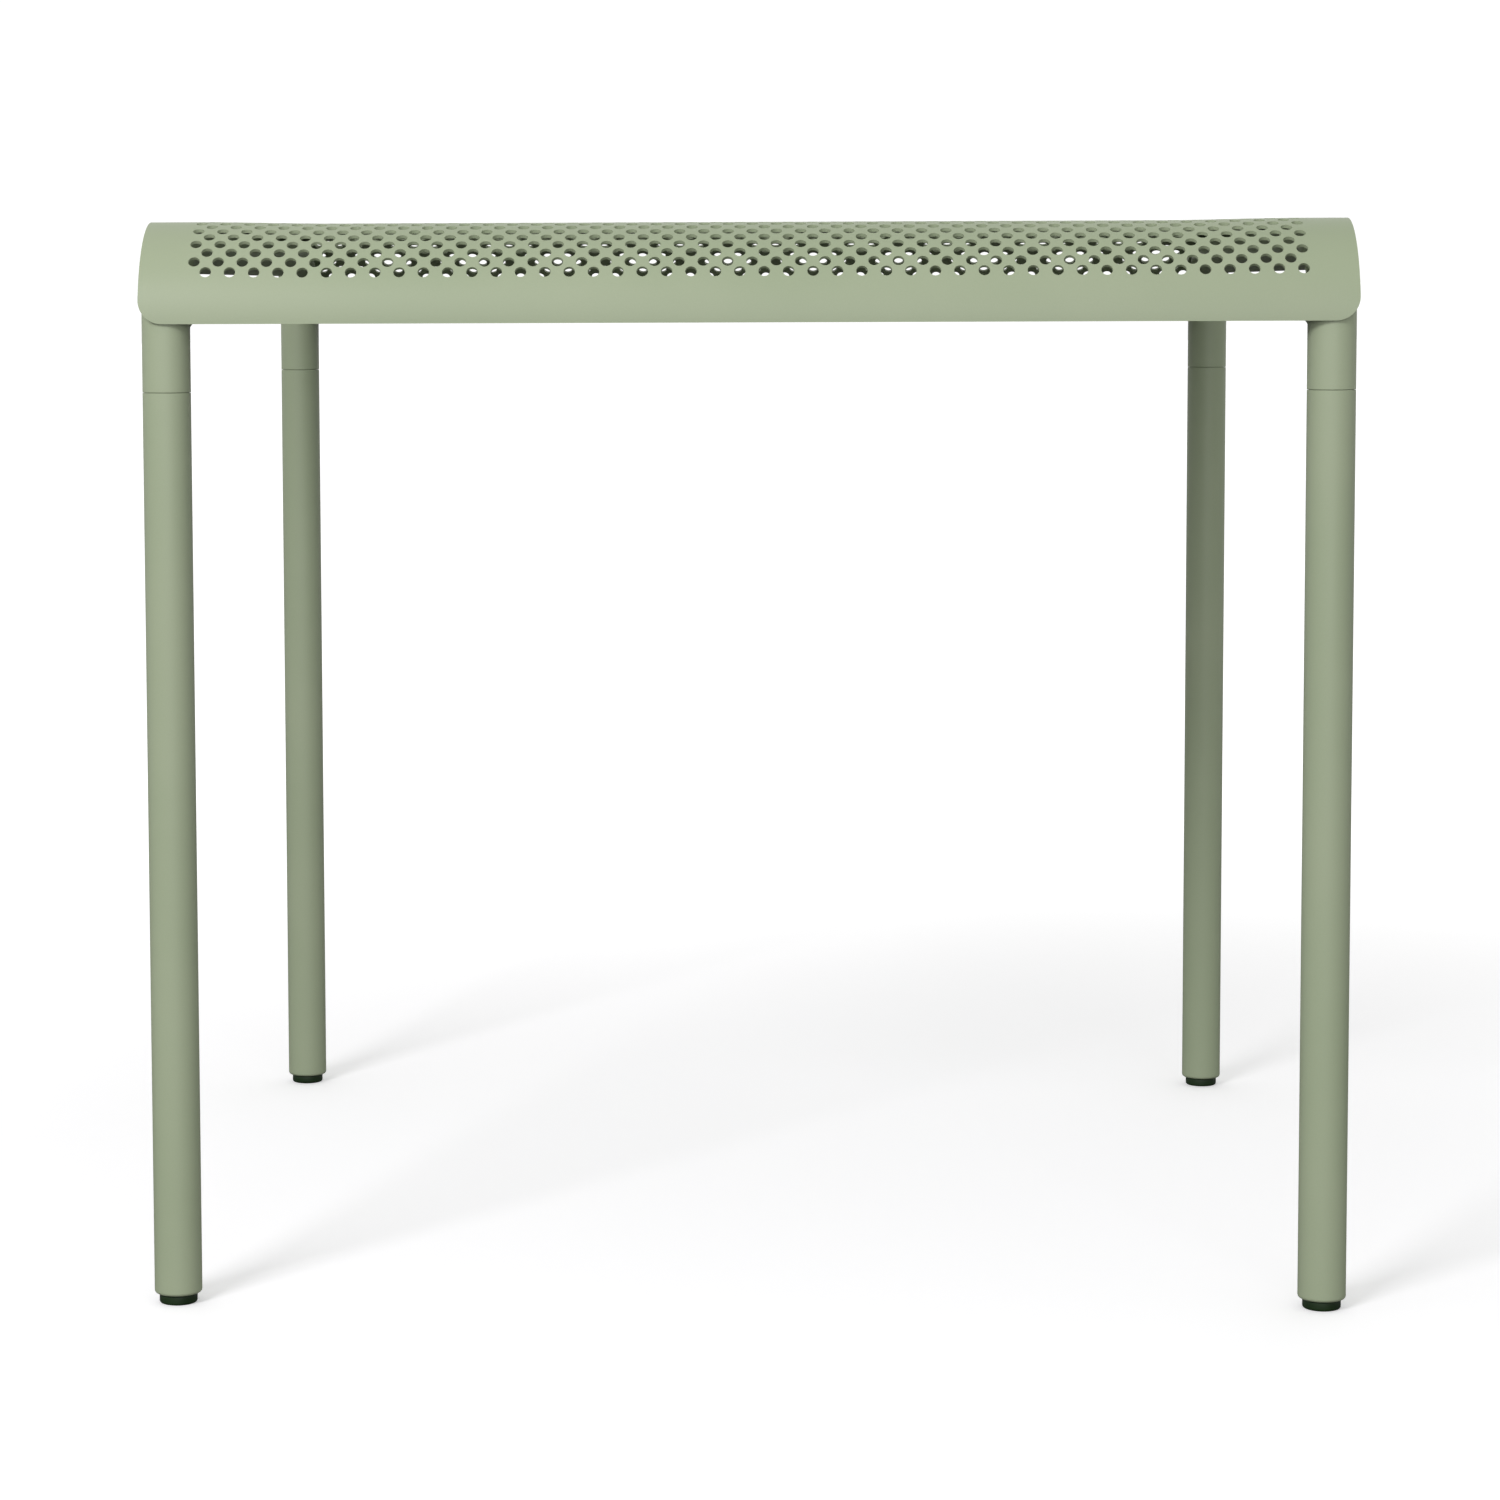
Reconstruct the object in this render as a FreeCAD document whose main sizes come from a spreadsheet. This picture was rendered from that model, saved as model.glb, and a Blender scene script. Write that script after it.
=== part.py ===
import FreeCAD, Part
import math
import os
import Sketcher
from FreeCAD import Placement, Rotation, Vector

# Backless bench: a perforated sheet seat folded down over two inverted-U tube side frames, four
# straight legs screwed under the frames, and a screw foot in each leg.
# Frame: origin on the floor at the centre of the footprint, +X right as seen from the front,
# +Y to the back, +Z up.  Millimetres.

doc = FreeCAD.newDocument("backless_bench")
sheet = doc.addObject("Spreadsheet::Sheet", "sizes")

SIZES = [
    ("seat_height", 454.0, "floor to the top of the seat"),
    ("panel_length", 500.0, "seat panel, end to end"),
    ("panel_depth", 488.0, "seat panel, front to back over the bends"),
    ("sheet_gauge", 1.5, "thickness of the seat sheet"),
    ("corner_round", 10.0, "rounding of the lower corners of the front and back aprons"),
    ("hole_radius", 2.4, "perforation"),
    ("hole_pitch", 10.0, "hole spacing along a row"),
    ("row_step", 5.0, "spacing of the staggered rows, measured along the sheet"),
    ("holes_per_row", 46, "holes in one row"),
    ("rows_on_bend", 9, "rows on each bend"),
    ("tube_radius", 10.0, "side frame and leg tube, outside"),
    ("tube_bore", 8.5, "side frame and leg tube, inside"),
    ("tube_bend", 30.0, "centreline bend radius of a side frame"),
    ("side_axis", 240.0, "centre plane of a side frame, from the middle"),
    ("leg_spacing", 465.0, "front leg axis to back leg axis"),
    ("joint_height", 383.3, "where a leg meets its side frame"),
    ("joint_gap", 0.2, "each tube end stops this far short of the joint"),
    ("edge_break", 0.5, "chamfer on the tube ends"),
    ("rail_radius", 7.0, "cross rail tube, outside"),
    ("rail_bore", 5.5, "cross rail tube, inside"),
    ("rail_rise", 7.5, "cross rail axis above the lower edge of the seat"),
    ("weld_radius", 9.9, "weld flare against the side frame"),
    ("weld_length", 3.5, "weld flare along the rail"),
    ("plug_radius", 8.45, "inserts and plugs inside a tube"),
    ("plug_depth", 20.0, "length of an insert or a plug"),
    ("joint_bore", 4.05, "tapped hole for the joint stud"),
    ("joint_stud", 4.0, "joint stud radius"),
    ("stud_reach", 17.0, "joint stud, to each side of the joint"),
    ("cap_bottom", 4.2, "underside of the leg end cap"),
    ("cap_flange", 1.6, "thickness of the end cap rim"),
    ("cap_round", 1.4, "rounding of the end cap rim"),
    ("cap_boss", 16.0, "height of the tapped boss inside the leg"),
    ("foot_bore", 3.05, "tapped hole for the foot stud"),
    ("foot_stud", 3.0, "foot stud radius"),
    ("foot_stud_seat", 1.5, "foot stud starts this high in the pad"),
    ("foot_stud_length", 30.0, "foot stud"),
    ("pad_radius", 8.0, "foot pad"),
    ("pad_height", 3.9, "foot pad"),
    ("pad_round", 1.0, "rounding of the foot pad edge"),
]
for row, (alias, amount, note) in enumerate(SIZES, start=1):
    sheet.set(f"A{row}", note)
    sheet.set(f"B{row}", str(amount))
    sheet.setAlias(f"B{row}", alias)
doc.recompute()

SIDES = {"left": -1, "right": 1}
ENDS = {"front": -1, "back": 1}
BEND_HEIGHT = "seat_height - sheet_gauge - tube_radius - tube_bend"
RAIL_HEIGHT = "seat_height - sheet_gauge - tube_radius"
STUB_BOTTOM = "joint_height + joint_gap"
LEG_TOP = "joint_height - joint_gap"
LEG_BOTTOM = "cap_bottom + cap_flange"


def size(text):
    """Value of a sum of sheet names such as 'joint_height - joint_gap'."""
    total = 0.0
    sign = 1.0
    for word in text.split():
        if word in "+-":
            sign = 1.0 if word == "+" else -1.0
        else:
            total += sign * float(getattr(sheet, word))
    return total


def formula(text):
    """The same sum written so that the document follows the sheet."""
    return " ".join(word if word in "+-" else "sizes." + word for word in text.split())


def new_sketch(body, name, role, lift=None):
    """A sketch on one of the body's own planes, optionally lifted along the plane's normal."""
    sketch = body.newObject("Sketcher::SketchObject", name)
    plane = [item for item in body.Origin.OriginFeatures if item.Role == role][0]
    sketch.AttachmentSupport = [(plane, "")]
    sketch.MapMode = "FlatFace"
    if lift:
        sketch.setExpression(".AttachmentOffset.Base.z", formula(lift))
    return sketch


def pin(sketch, curve, end, across, up):
    """Hold one end of a curve at sheet-driven coordinates; None means on the axis."""
    for kind, axis, text in (("DistanceX", -2, across), ("DistanceY", -1, up)):
        if text is None:
            sketch.addConstraint(Sketcher.Constraint("PointOnObject", curve, end, axis))
        else:
            index = sketch.addConstraint(Sketcher.Constraint(kind, -1, 1, curve, end, size(text)))
            sketch.setExpression(f"Constraints[{index}]", formula(text))


def ring_sketch(body, name, lift, radii):
    """Concentric circles about the body's own vertical axis."""
    sketch = new_sketch(body, name, "XY_Plane", lift)
    for text in radii:
        curve = sketch.addGeometry(Part.Circle(Vector(0, 0, 0), Vector(0, 0, 1), size(text)), False)
        sketch.addConstraint(Sketcher.Constraint("Coincident", curve, 3, -1, 1))
        index = sketch.addConstraint(Sketcher.Constraint("Radius", curve, size(text)))
        sketch.setExpression(f"Constraints[{index}]", formula(text))
    return sketch


def stand_at_leg(body, side, end):
    """Put a piece on one of the four leg axes."""
    body.setExpression("Placement.Base.x", f"{SIDES[side]} * sizes.side_axis")
    body.setExpression("Placement.Base.y", f"{ENDS[end]} * sizes.leg_spacing / 2")


def rim_edges(shape, radius, height):
    """Names of the full circles of one radius at one height."""
    names = []
    for number, edge in enumerate(shape.Edges, start=1):
        if edge.Curve.TypeId != "Part::GeomCircle":
            continue
        close = abs(edge.Curve.Radius - radius) < 0.01 and abs(edge.Curve.Center.z - height) < 0.01
        if close:
            names.append(f"Edge{number}")
    return names


def dress(body, kind, name, base, edges, setting, text):
    """A chamfer or fillet on chosen edges of the last feature."""
    feature = body.newObject(kind, name)
    feature.Base = (base, edges)
    feature.setExpression(setting, formula(text))
    body.Tip = feature
    return feature


def turned(name, profile):
    """A turned piece: a closed half profile of (radius, height) sheet sums spun about Z."""
    body = doc.addObject("PartDesign::Body", name)
    sketch = new_sketch(body, name + "_profile", "XZ_Plane")
    points = []
    for across, up in profile:
        points.append(Vector(size(across) if across else 0, size(up) if up else 0, 0))
    count = len(points)
    for index in range(count):
        sketch.addGeometry(Part.LineSegment(points[index], points[(index + 1) % count]), False)
    for index in range(count):
        following = (index + 1) % count
        sketch.addConstraint(Sketcher.Constraint("Coincident", index, 2, following, 1))
        pin(sketch, index, 1, *profile[index])
    turn = body.newObject("PartDesign::Revolution", name + "_turn")
    turn.Profile = sketch
    turn.ReferenceAxis = (sketch, ["V_Axis"])
    turn.Angle = 360
    body.Tip = turn
    doc.recompute()
    return body, turn


# ---- Seat panel: punched sheet, folded down at the front and back --------------------------------

def punches(centre, outward, odd):
    """One row of round punches across the sheet, each pointing along the sheet's normal."""
    start = -size("hole_pitch") * (size("holes_per_row") - 1) / 2
    stagger = size("hole_pitch") / 4 * (-1 if odd else 1)
    depth = size("sheet_gauge")
    tools = []
    for number in range(int(size("holes_per_row"))):
        along = start + stagger + number * size("hole_pitch")
        foot = centre + Vector(along, 0, 0) - outward * 2 * depth
        tools.append(Part.makeCylinder(size("hole_radius"), 4 * depth, foot, outward))
    return tools


def front_bend(row_offset):
    """The quarter-round front bend with its rows of holes."""
    outer = size("tube_bend + tube_radius + sheet_gauge")
    inner = size("tube_bend + tube_radius")
    centre = Vector(0, outer - size("panel_depth") / 2, size("seat_height") - outer)
    end = -size("panel_length") / 2

    def on_arc(radius, angle):
        return centre + Vector(end, -radius * math.sin(angle), radius * math.cos(angle))

    quarter = math.pi / 2
    skin = Part.Arc(on_arc(outer, 0), on_arc(outer, quarter / 2), on_arc(outer, quarter)).toShape()
    liner = Part.Arc(on_arc(inner, quarter), on_arc(inner, quarter / 2), on_arc(inner, 0)).toShape()
    lower_edge = Part.makeLine(on_arc(outer, quarter), on_arc(inner, quarter))
    upper_edge = Part.makeLine(on_arc(inner, 0), on_arc(outer, 0))
    section = Part.Face(Part.Wire([skin, lower_edge, liner, upper_edge]))
    bend = section.extrude(Vector(size("panel_length"), 0, 0))

    tools = []
    for number in range(int(size("rows_on_bend"))):
        angle = (row_offset + number * size("row_step")) / outer
        outward = Vector(0, -math.sin(angle), math.cos(angle))
        tools += punches(centre + outward * outer, outward, number % 2 == 1)

    # The lower corners are rounded: whatever lies outside a cylinder through each corner goes.
    rounding = size("corner_round")
    for side in SIDES.values():
        corner_x = side * (size("panel_length") / 2 - rounding)
        low = Vector(min(corner_x, corner_x + side * 2 * rounding), -size("panel_depth"), centre.z - rounding)
        block = Part.makeBox(2 * rounding, size("panel_depth"), 2 * rounding, low)
        spare = Part.makeCylinder(
            rounding, size("panel_depth"), Vector(corner_x, -size("panel_depth"), centre.z + rounding), Vector(0, 1, 0))
        tools.append(block.cut(spare))
    return bend.cut(tools)


def flat_run(first, count):
    """A run of rows across the flat of the seat, with its round holes."""
    outer = size("tube_bend + tube_radius + sheet_gauge")
    front = outer - size("panel_depth") / 2
    end = size("panel_length") / 2
    low = size("seat_height - sheet_gauge")
    step = size("row_step")
    near = front + first * step
    far = near + count * step
    corners = [Vector(-end, near, low), Vector(end, near, low), Vector(end, far, low), Vector(-end, far, low)]
    wires = [Part.makePolygon(corners + corners[:1])]
    start = -size("hole_pitch") * (size("holes_per_row") - 1) / 2
    for number in range(first, first + count):
        stagger = size("hole_pitch") / 4 * (1 if number % 2 else -1)
        for place in range(int(size("holes_per_row"))):
            along = start + stagger + place * size("hole_pitch")
            middle = Vector(along, near + (number - first + 0.5) * step, low)
            hole = Part.Wire(Part.makeCircle(size("hole_radius"), middle))
            hole.reverse()
            wires.append(hole)
    return Part.Face(wires).extrude(Vector(0, 0, size("sheet_gauge")))


def perforated_panel():
    """Front bend, flat and back bend, joined along straight lines that pass between the rows."""
    bend = front_bend(size("row_step") / 2)
    outer = size("tube_bend + tube_radius + sheet_gauge")
    rows_on_flat = round((size("panel_depth") - 2 * outer) / size("row_step"))
    run = int(size("rows_on_bend"))
    pieces = [bend]
    for first in range(0, rows_on_flat, run):
        pieces.append(flat_run(first, min(run, rows_on_flat - first)))
    pieces.append(bend.mirror(Vector(0, 0, 0), Vector(0, 1, 0)))
    return pieces[0].fuse(pieces[1:]).Solids[0]


seat_panel = doc.addObject("Part::Feature", "seat_panel")
seat_panel.Shape = perforated_panel()


# ---- Side frames: one tube each, bent into an upside-down U ---------------------------------------

def side_frame(side):
    body = doc.addObject("PartDesign::Body", f"side_frame_{side}")
    body.setExpression("Placement.Base.x", f"{SIDES[side]} * sizes.side_axis")
    body.setExpression("Placement.Base.y", "-sizes.leg_spacing / 2")
    path = new_sketch(body, f"side_frame_{side}_path", "YZ_Plane")
    near_top = ("tube_bend", RAIL_HEIGHT)
    far_top = ("leg_spacing - tube_bend", RAIL_HEIGHT)
    stops = [(None, STUB_BOTTOM), (None, BEND_HEIGHT), near_top, far_top,
             ("leg_spacing", BEND_HEIGHT), ("leg_spacing", STUB_BOTTOM)]
    points = [Vector(size(across) if across else 0, size(up), 0) for across, up in stops]
    radius = size("tube_bend")

    def quarter(centre, start, finish):
        circle = Part.Circle(centre, Vector(0, 0, 1), radius)
        return path.addGeometry(Part.ArcOfCircle(circle, start, finish), False)

    near_stub = path.addGeometry(Part.LineSegment(points[0], points[1]), False)
    near_bend = quarter(Vector(radius, size(BEND_HEIGHT), 0), math.pi / 2, math.pi)
    top = path.addGeometry(Part.LineSegment(points[2], points[3]), False)
    far_bend = quarter(Vector(size("leg_spacing") - radius, size(BEND_HEIGHT), 0), 0, math.pi / 2)
    far_stub = path.addGeometry(Part.LineSegment(points[4], points[5]), False)
    ends = [(near_stub, 1), (near_stub, 2), (top, 1), (top, 2), (far_stub, 1), (far_stub, 2)]
    for (curve, end), (across, up) in zip(ends, stops):
        pin(path, curve, end, across, up)
    joins = [(near_bend, 2, near_stub, 2), (near_bend, 1, top, 1), (far_bend, 2, top, 2), (far_bend, 1, far_stub, 1)]
    for curve, end, other, other_end in joins:
        path.addConstraint(Sketcher.Constraint("Coincident", curve, end, other, other_end))
    for curve in (near_bend, far_bend):
        index = path.addConstraint(Sketcher.Constraint("Radius", curve, radius))
        path.setExpression(f"Constraints[{index}]", "sizes.tube_bend")

    section = ring_sketch(body, f"side_frame_{side}_section", STUB_BOTTOM, ["tube_radius", "tube_bore"])
    pipe = body.newObject("PartDesign::AdditivePipe", f"side_frame_{side}_bent_tube")
    pipe.Profile = section
    pipe.Spine = path
    body.Tip = pipe
    doc.recompute()
    rims = rim_edges(pipe.Shape, size("tube_radius"), size(STUB_BOTTOM))
    dress(body, "PartDesign::Chamfer", f"side_frame_{side}_edge_break", pipe, rims, "Size", "edge_break")


for side in SIDES:
    side_frame(side)


# ---- Cross rails: coped and welded between the side frames, behind the aprons ---------------------

def primitive(kind, name, place, turn=None, **amounts):
    """A Part primitive whose sizes follow the sheet; place holds one expression per axis."""
    item = doc.addObject(kind, name)
    for setting, text in amounts.items():
        item.setExpression(setting, text)
    if turn:
        item.Placement = Placement(Vector(), turn)
    for axis, text in zip("xyz", place):
        item.setExpression(f"Placement.Base.{axis}", text)
    return item


def cross_rail(end):
    name = f"{end}_rail"
    sign = ENDS[end]
    bend_height = f"({formula(BEND_HEIGHT)})"
    bend_y = f"{sign} * (sizes.leg_spacing / 2 - sizes.tube_bend)"
    rail_y = f"{sign} * (sizes.leg_spacing / 2 - sizes.tube_bend + sqrt(sizes.tube_bend ^ 2 - sizes.rail_rise ^ 2))"
    rail_z = f"{bend_height} + sizes.rail_rise"
    along = Rotation(Vector(0, 1, 0), 90)
    back_along = Rotation(Vector(0, 1, 0), -90)
    start = ("-sizes.side_axis", rail_y, rail_z)
    reach = "2 * sizes.side_axis"
    outside = [primitive("Part::Cylinder", f"{name}_bar", start, along, Radius="sizes.rail_radius", Height=reach)]
    cutters = [primitive("Part::Cylinder", f"{name}_hollow", start, along, Radius="sizes.rail_bore", Height=reach)]
    for side, hand in SIDES.items():
        turn = along if hand < 0 else back_along
        collar_start = (f"{hand} * sizes.side_axis", rail_y, rail_z)
        flare_start = (f"{hand} * (sizes.side_axis - sizes.tube_radius)", rail_y, rail_z)
        outside.append(primitive("Part::Cylinder", f"{name}_collar_{side}", collar_start, turn,
                                 Radius="sizes.weld_radius", Height="sizes.tube_radius"))
        outside.append(primitive("Part::Cone", f"{name}_flare_{side}", flare_start, turn,
                                 Radius1="sizes.weld_radius", Radius2="sizes.rail_radius", Height="sizes.weld_length"))
        stub_start = (f"{hand} * sizes.side_axis", f"{sign} * sizes.leg_spacing / 2", f"{bend_height} - 25")
        cutters.append(primitive("Part::Cylinder", f"{name}_cope_{side}", stub_start, None,
                                 Radius="sizes.tube_radius", Height="25"))
        cutters.append(primitive("Part::Torus", f"{name}_cope_bend_{side}", (stub_start[0], bend_y, bend_height), along,
                                 Radius1="sizes.tube_bend", Radius2="sizes.tube_radius"))
    solid = doc.addObject("Part::MultiFuse", f"{name}_outside")
    solid.Shapes = outside
    waste = doc.addObject("Part::MultiFuse", f"{name}_waste")
    waste.Shapes = cutters
    rail = doc.addObject("Part::Cut", name)
    rail.Base = solid
    rail.Tool = waste


cross_rail("front")
back_rail = doc.addObject("Part::Mirroring", "back_rail")
back_rail.Source = doc.getObject("front_rail")
back_rail.Normal = Vector(0, 1, 0)


# ---- Legs, joint hardware and feet ------------------------------------------------------------------

def leg(side, end):
    name = f"leg_{end}_{side}"
    body = doc.addObject("PartDesign::Body", name)
    section = ring_sketch(body, name + "_section", LEG_BOTTOM, ["tube_radius", "tube_bore"])
    pad = body.newObject("PartDesign::Pad", name + "_length")
    pad.Profile = section
    pad.setExpression("Length", f"{formula(LEG_TOP)} - ({formula(LEG_BOTTOM)})")
    body.Tip = pad
    doc.recompute()
    rims = rim_edges(pad.Shape, size("tube_radius"), size(LEG_TOP))
    dress(body, "PartDesign::Chamfer", name + "_edge_break", pad, rims, "Size", "edge_break")
    stand_at_leg(body, side, end)


def sleeve(name, side, end, low, high):
    """A tapped bush inside a tube at the leg joint."""
    body, _ = turned(name, [("joint_bore", low), ("plug_radius", low), ("plug_radius", high), ("joint_bore", high)])
    stand_at_leg(body, side, end)


def rod(name, side, end, radius, low, high):
    """A plain stud."""
    body, turn = turned(name, [(None, low), (radius, low), (radius, high), (None, high)])
    rims = rim_edges(turn.Shape, size(radius), size(low)) + rim_edges(turn.Shape, size(radius), size(high))
    dress(body, "PartDesign::Chamfer", name + "_point", turn, rims, "Size", "edge_break")
    stand_at_leg(body, side, end)


def end_cap(name, side, end):
    boss_top = "cap_bottom + cap_boss"
    body, turn = turned(name, [
        ("foot_bore", "cap_bottom"), ("tube_radius", "cap_bottom"), ("tube_radius", LEG_BOTTOM),
        ("plug_radius", LEG_BOTTOM), ("plug_radius", boss_top), ("foot_bore", boss_top)])
    rims = rim_edges(turn.Shape, size("tube_radius"), size("cap_bottom"))
    dress(body, "PartDesign::Fillet", name + "_rim", turn, rims, "Radius", "cap_round")
    stand_at_leg(body, side, end)


def foot_pad(name, side, end):
    body, turn = turned(name, [
        (None, None), ("pad_radius", None), ("pad_radius", "pad_height"),
        ("foot_bore", "pad_height"), ("foot_bore", "foot_stud_seat"), (None, "foot_stud_seat")])
    rims = rim_edges(turn.Shape, size("pad_radius"), 0)
    dress(body, "PartDesign::Fillet", name + "_rim", turn, rims, "Radius", "pad_round")
    stand_at_leg(body, side, end)


for end in ENDS:
    for side in SIDES:
        where = f"{end}_{side}"
        leg(side, end)
        sleeve(f"stub_insert_{where}", side, end, "joint_height", "joint_height + plug_depth")
        sleeve(f"leg_top_plug_{where}", side, end, "joint_height - plug_depth", "joint_height")
        rod(f"leg_stud_{where}", side, end, "joint_stud", "joint_height - stud_reach", "joint_height + stud_reach")
        end_cap(f"leg_end_cap_{where}", side, end)
        foot_pad(f"foot_pad_{where}", side, end)
        rod(f"foot_stud_{where}", side, end, "foot_stud", "foot_stud_seat", "foot_stud_seat + foot_stud_length")

doc.recompute()


# ---- Check and write ----------------------------------------------------------------------------------

NODES = ["seat_panel", "side_frame_left", "side_frame_right", "front_rail", "back_rail"]
for kind in ("leg", "stub_insert", "leg_top_plug", "leg_stud", "leg_end_cap", "foot_pad", "foot_stud"):
    NODES += [f"{kind}_{end}_{side}" for end in ENDS for side in SIDES]

for item in doc.Objects:
    troubles = [state for state in item.State if state in ("Invalid", "Error")]
    if troubles:
        raise RuntimeError(f"{item.Name}: {item.State}")

os.makedirs("parts", exist_ok=True)
for name in NODES:
    shape = doc.getObject(name).Shape
    if shape.isNull() or len(shape.Solids) != 1:
        raise RuntimeError(f"{name} is not one solid")
    if name != "seat_panel" and not shape.isValid():
        raise RuntimeError(f"{name} is not valid")
    shape.exportStep(f"parts/{name}.step")
    print(name, [round(value, 2) for value in (shape.Volume, shape.BoundBox.ZMin, shape.BoundBox.ZMax)])
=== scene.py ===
# %% [markdown]
# # Backless bench with a perforated folded seat
#
# The real bench is made in a sheet-metal shop. A punched sheet is folded down over two bent tube
# side frames, two cross rails tie the frames together, and four straight legs are bolted under
# them on studs. Each leg ends in a screw foot. Every piece below is built on the CAD frame, in metres.

import bpy
import math
import numpy as np
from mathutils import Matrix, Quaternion, Vector


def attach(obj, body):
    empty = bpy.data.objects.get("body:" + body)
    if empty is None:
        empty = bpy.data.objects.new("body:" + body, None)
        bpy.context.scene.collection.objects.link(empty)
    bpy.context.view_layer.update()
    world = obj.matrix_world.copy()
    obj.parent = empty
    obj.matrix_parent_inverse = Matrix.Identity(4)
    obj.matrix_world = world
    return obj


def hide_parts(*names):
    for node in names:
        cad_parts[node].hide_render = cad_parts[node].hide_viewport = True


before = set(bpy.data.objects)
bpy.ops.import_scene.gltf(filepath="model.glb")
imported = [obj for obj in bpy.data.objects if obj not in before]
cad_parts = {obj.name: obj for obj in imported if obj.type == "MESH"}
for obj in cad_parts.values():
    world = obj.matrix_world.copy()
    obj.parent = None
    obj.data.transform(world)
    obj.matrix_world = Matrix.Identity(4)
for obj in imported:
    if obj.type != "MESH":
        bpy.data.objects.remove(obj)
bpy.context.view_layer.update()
scene = bpy.context.scene
MM = 0.001

# %% [markdown]
# ## Sizes that the pieces share
# They are the CAD source's own numbers, except that the gap at each leg joint is half as wide
# here. A tube's sizes are radii. Everything is in millimetres, and becomes metres only when a mesh
# is written.

# %% Shared sizes
SEAT_TOP = 454.0
HALF_LENGTH = 250.0
HALF_DEPTH = 244.0
GAUGE = 1.5
TUBE = 10.0
TUBE_BORE = 8.5
TUBE_BEND = 30.0
SKIN_BEND = TUBE_BEND + TUBE + GAUGE
FLAT_HALF = HALF_DEPTH - SKIN_BEND
BEND_Z = SEAT_TOP - SKIN_BEND
SIDE_X = 240.0
LEG_Y = 232.5
JOINT_Z = 383.3
JOINT_GAP = 0.1
SIDES = {"left": -1, "right": 1}
ENDS = {"front": -1, "back": 1}
print(f"bend radius {SKIN_BEND} mm, flat from {-FLAT_HALF} to {FLAT_HALF} mm")

# %% [markdown]
# ## A short way to write shaders
# Wrapping a node socket in a small class lets a material read like arithmetic. Only inputs that
# vary over a surface come from nodes. Anything constant is set on the shader's own socket.

# %% Shader arithmetic
class Sock:
    """One output socket, with arithmetic that adds Math nodes to its tree."""

    def __init__(self, tree, out):
        self.tree = tree
        self.out = out

    def node(self, kind, out=0, props=None, **inputs):
        """Adds any node. Inputs are given by their socket's name, with _ for a space."""
        made = self.tree.nodes.new(kind)
        for key, value in (props or {}).items():
            setattr(made, key, value)
        for key, value in inputs.items():
            put(self.tree, made.inputs[key.replace("_", " ")], value)
        return Sock(self.tree, made.outputs[out])

    def maths(self, operation, first, second=0.0):
        made = self.tree.nodes.new("ShaderNodeMath")
        made.operation = operation
        put(self.tree, made.inputs[0], first)
        put(self.tree, made.inputs[1], second)
        return Sock(self.tree, made.outputs[0])

    def __add__(self, other):
        return self.maths("ADD", self, other)

    def __sub__(self, other):
        return self.maths("SUBTRACT", self, other)

    def __mul__(self, other):
        return self.maths("MULTIPLY", self, other)

    def __rsub__(self, other):
        return self.maths("SUBTRACT", other, self)

    def __truediv__(self, other):
        return self.maths("DIVIDE", self, other)

    def __rtruediv__(self, other):
        return self.maths("DIVIDE", other, self)

    __radd__ = __add__
    __rmul__ = __mul__

    def ramp(self, low, high, to_low=0.0, to_high=1.0):
        """Smoothly carries low..high over to to_low..to_high."""
        made = self.tree.nodes.new("ShaderNodeMapRange")
        made.interpolation_type = "SMOOTHSTEP"
        for name, value in (("Value", self), ("From Min", low), ("From Max", high),
                            ("To Min", to_low), ("To Max", to_high)):
            put(self.tree, made.inputs[name], value)
        return Sock(self.tree, made.outputs[0])

    def blend(self, first, second):
        """A colour between two colours, by this amount."""
        made = self.tree.nodes.new("ShaderNodeMix")
        made.data_type = "RGBA"
        put(self.tree, made.inputs[0], self)
        put(self.tree, made.inputs[6], first)
        put(self.tree, made.inputs[7], second)
        return Sock(self.tree, made.outputs[2])


def put(tree, socket, value):
    """Links a Sock into a socket, or sets a plain value on it."""
    if isinstance(value, Sock):
        tree.links.new(value.out, socket)
    elif hasattr(value, "__len__") and len(value) == 3 and socket.type == "RGBA":
        socket.default_value = (*value, 1.0)
    else:
        socket.default_value = value


def new_material(name, **settings):
    """A material, its shader, and its object coordinates in millimetres."""
    material = bpy.data.materials.new(name)
    material.use_nodes = True
    tree = material.node_tree
    shader = tree.nodes["Principled BSDF"]
    for key, value in settings.items():
        put(tree, shader.inputs[key.replace("_", " ")], value)
    coords = tree.nodes.new("ShaderNodeTexCoord")
    scale = tree.nodes.new("ShaderNodeVectorMath")
    scale.operation = "SCALE"
    tree.links.new(coords.outputs["Object"], scale.inputs[0])
    scale.inputs["Scale"].default_value = 1000.0
    return material, shader, Sock(tree, scale.outputs[0])


def noise(where, per_mm, detail=2.0):
    """Noise whose grains are about 1 / per_mm millimetres across."""
    return where.node("ShaderNodeTexNoise", Vector=where, Scale=per_mm, Detail=detail, Roughness=0.5)


def emboss(shader, height, where, strength, distance):
    """A bump of the given height pattern on the shader's normal."""
    bump = where.node("ShaderNodeBump", Height=height, Strength=strength, Distance=distance)
    put(where.tree, shader.inputs["Normal"], bump)


# %% [markdown]
# ## The coats
# The steel is powder coated in a pale sage green. Powder melts into a satin skin with a fine,
# even texture of tiny pimples, a fraction of a millimetre apart, and a slow drift in thickness
# that changes the gloss more than the colour. Noise measured in the object's own millimetres has
# no seam and keeps its scale on every piece. The pimples are far too small to model, so they are
# a bump.

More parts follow.
